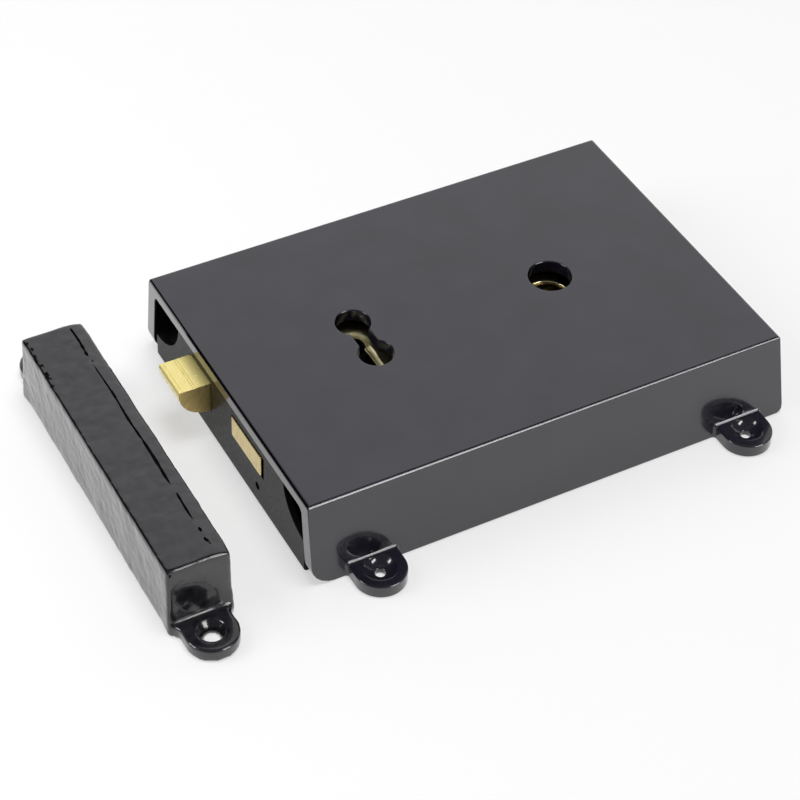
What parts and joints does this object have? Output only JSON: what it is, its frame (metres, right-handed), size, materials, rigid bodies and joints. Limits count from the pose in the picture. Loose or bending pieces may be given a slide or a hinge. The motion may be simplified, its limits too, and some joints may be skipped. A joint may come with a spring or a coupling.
{
  "type": "rim box lock",
  "caption": "Black cast iron rim box lock with a brass latch bolt and brass dead bolt, fixing lugs and a separate box keep, laid with its door side down",
  "frame": {"origin": "on the door plane, under the middle of the lock and keep taken together", "axes": "+X along the lock from the forend to its rear end, +Y across the lock to the latch side, +Z away from the door"},
  "size_m": [0.1966, 0.1344, 0.028],
  "materials": {
    "black_enamel": "glossy black enamel over cast iron",
    "black_steel": "satin black paint over sheet steel",
    "brass": "brushed brass",
    "steel": "plain steel"
  },
  "bodies": {
    "lock": {"case": "black_enamel", "chassis": "black_steel", "case_screws": "steel", "cover_plate": "brass", "cover_pillars": "steel", "cover_screws": "steel", "bolt_guide_stud": "steel", "lever_post": "steel", "lever_spring_pin": "steel", "spring_stop": "steel", "spring_stop_rivets": "steel", "latch_spring": "steel"},
    "latch": {"latch_bolt": "brass", "latch_tail": "steel", "latch_rivets": "steel", "spring_rod": "steel"},
    "follower": {"follower": "brass"},
    "dead_bolt": {"dead_bolt": "brass", "dead_bolt_stump": "steel"},
    "lever_1": {"lever_1": "brass", "lever_spring_1": "steel"},
    "lever_2": {"lever_2": "brass", "lever_spring_2": "steel"},
    "keep": {"keep": "black_enamel"}
  },
  "joints": [
    {"name": "follower_turn", "type": "hinge", "parent": "lock", "child": "follower", "pos_m": [0.04956, 0.0008, 0], "axis": [0, 0, -1], "range_deg": [0, 40]},
    {"name": "latch_slide", "type": "slide", "parent": "lock", "child": "latch", "axis": [1, 0, 0], "range_m": [0, 0.0096], "stiffness_N_per_m": 900, "springref_m": -0.004, "deforming": ["latch_spring"]},
    {"name": "dead_bolt_throw", "type": "slide", "parent": "lock", "child": "dead_bolt", "axis": [-1, 0, 0], "range_m": [0, 0.011]},
    {"name": "lever_1_lift", "type": "hinge", "parent": "lock", "child": "lever_1", "pos_m": [0.01556, -0.0131, 0], "axis": [0, 0, 1], "range_deg": [0, 6], "deforming": ["lever_spring_1"]},
    {"name": "lever_2_lift", "type": "hinge", "parent": "lock", "child": "lever_2", "pos_m": [0.01556, -0.0131, 0], "axis": [0, 0, 1], "range_deg": [0, 6], "deforming": ["lever_spring_2"]},
    {"name": "keep_slide", "type": "slide", "parent": "lock", "child": "keep", "axis": [1, 0, 0], "range_m": [0, 0.0219]}
  ],
  "couplings": [
    {"joint": "follower_turn", "follows": "latch_slide", "rad_per_m": 72.72},
    {"joint": "lever_1_lift", "follows": "dead_bolt_throw", "rad_per_m": 9.519},
    {"joint": "lever_2_lift", "follows": "dead_bolt_throw", "rad_per_m": 9.519}
  ]
}
